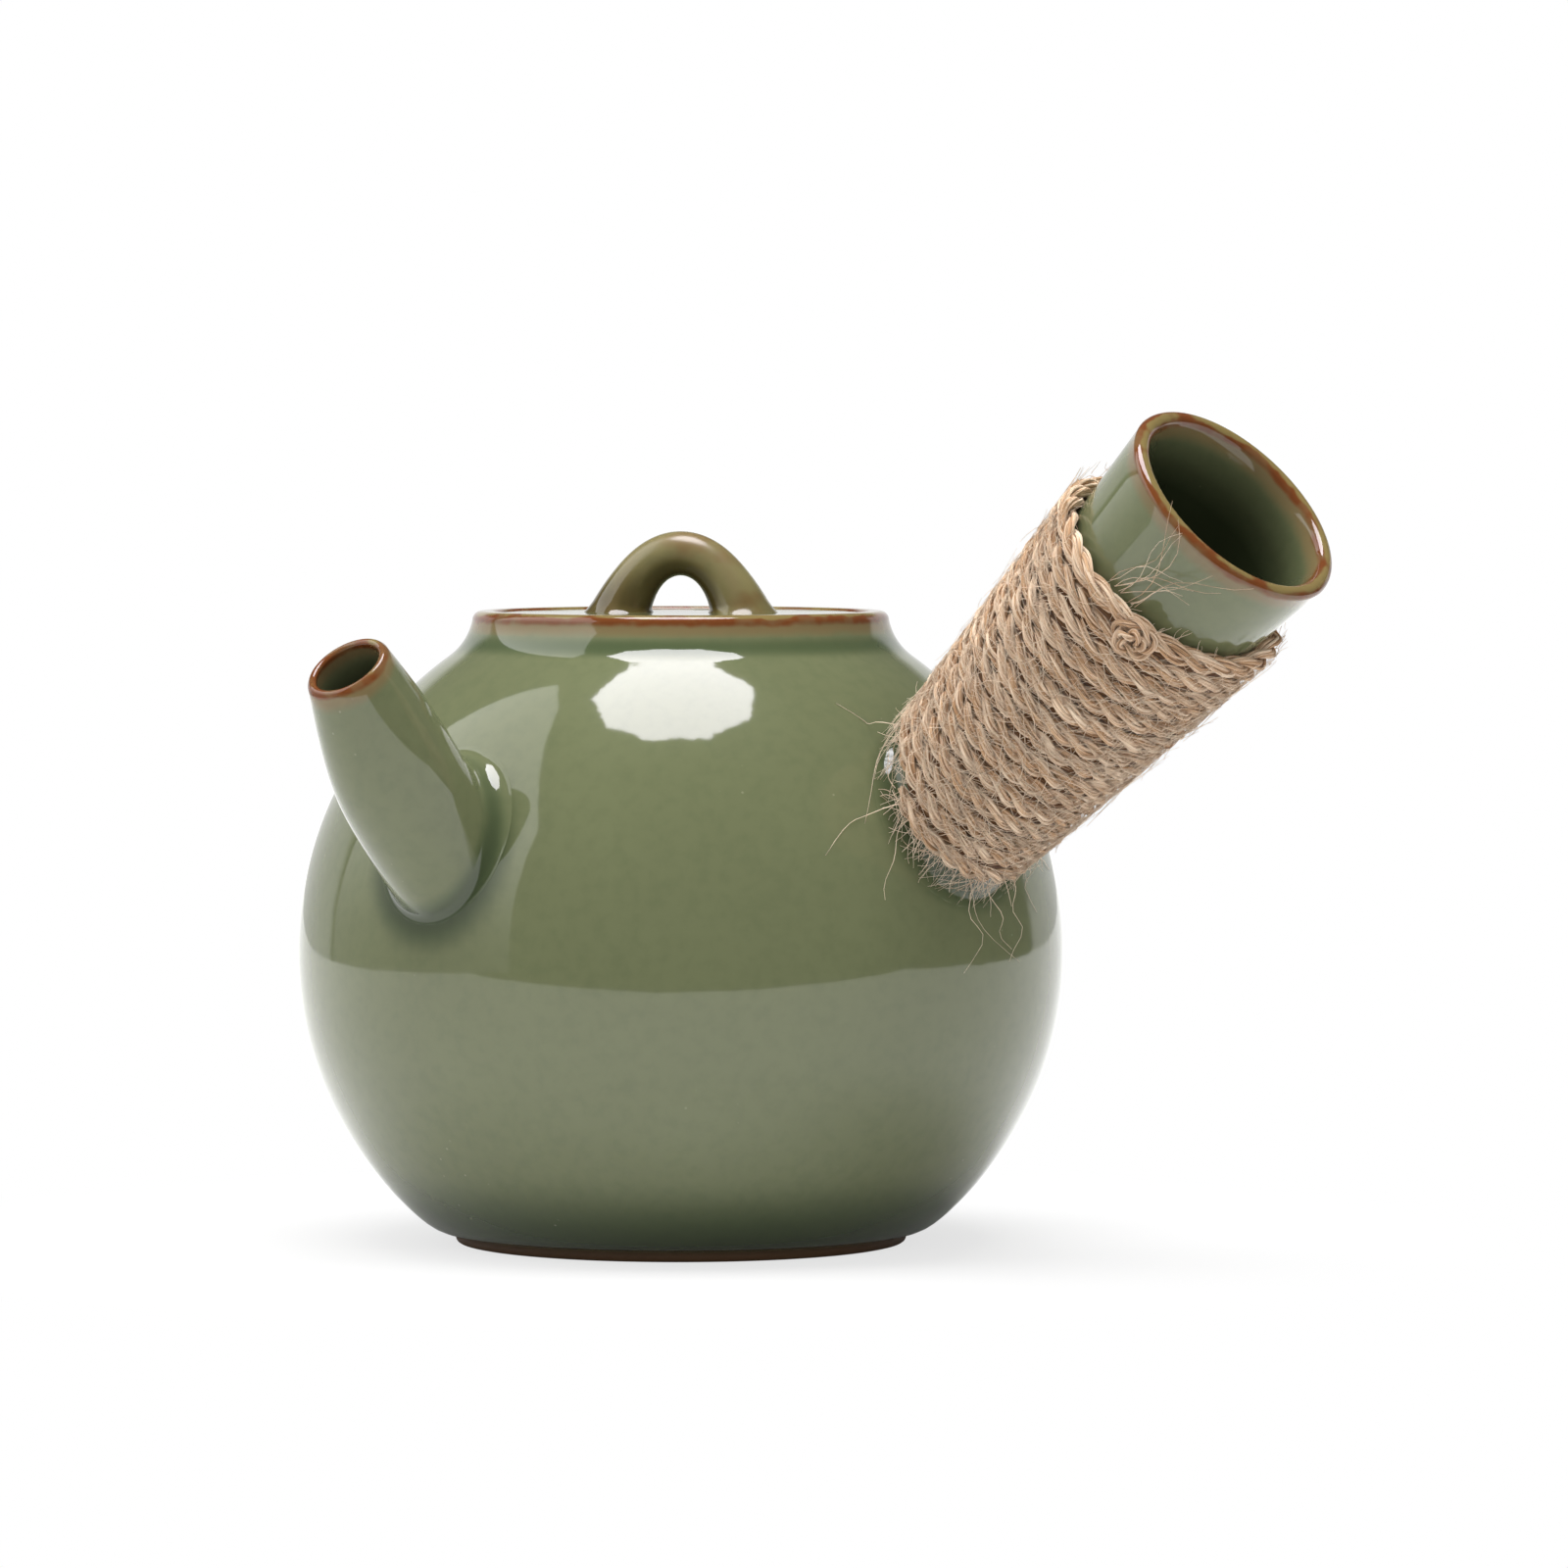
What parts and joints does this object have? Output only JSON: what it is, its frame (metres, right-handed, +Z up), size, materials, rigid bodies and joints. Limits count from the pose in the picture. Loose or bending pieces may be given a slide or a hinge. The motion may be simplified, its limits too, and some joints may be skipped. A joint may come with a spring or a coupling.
{
  "type": "side-handle teapot",
  "caption": "Small round glazed teapot with a flush drop-in lid and loop knob, a short slanted spout and a hollow twine-bound handle set at a right angle to the spout.",
  "frame": {"origin": "centre of the foot ring, on the plane the pot stands on", "axes": "+Z up along the pot's axis; the spout points to -X and the handle to -Y"},
  "size_m": [0.1062, 0.1352, 0.0974],
  "materials": {
    "celadon_glaze": "glossy olive green glaze, brown where it runs thin at the edges",
    "olive_glaze": "glossy olive brown glaze",
    "jute_twine": "rough natural jute"
  },
  "bodies": {
    "pot": {"pot_body": "celadon_glaze", "pot_shoulder": "celadon_glaze", "pot_collar": "celadon_glaze", "spout": "celadon_glaze", "side_handle": "celadon_glaze", "strainer": "celadon_glaze", "twine_wrap": "jute_twine"},
    "lid": {"lid": "celadon_glaze", "lid_knob": "olive_glaze"}
  },
  "joints": [
    {"name": "lid_lift", "type": "slide", "parent": "pot", "child": "lid", "axis": [0, 0, 1], "range_m": [0, 0.05]}
  ]
}
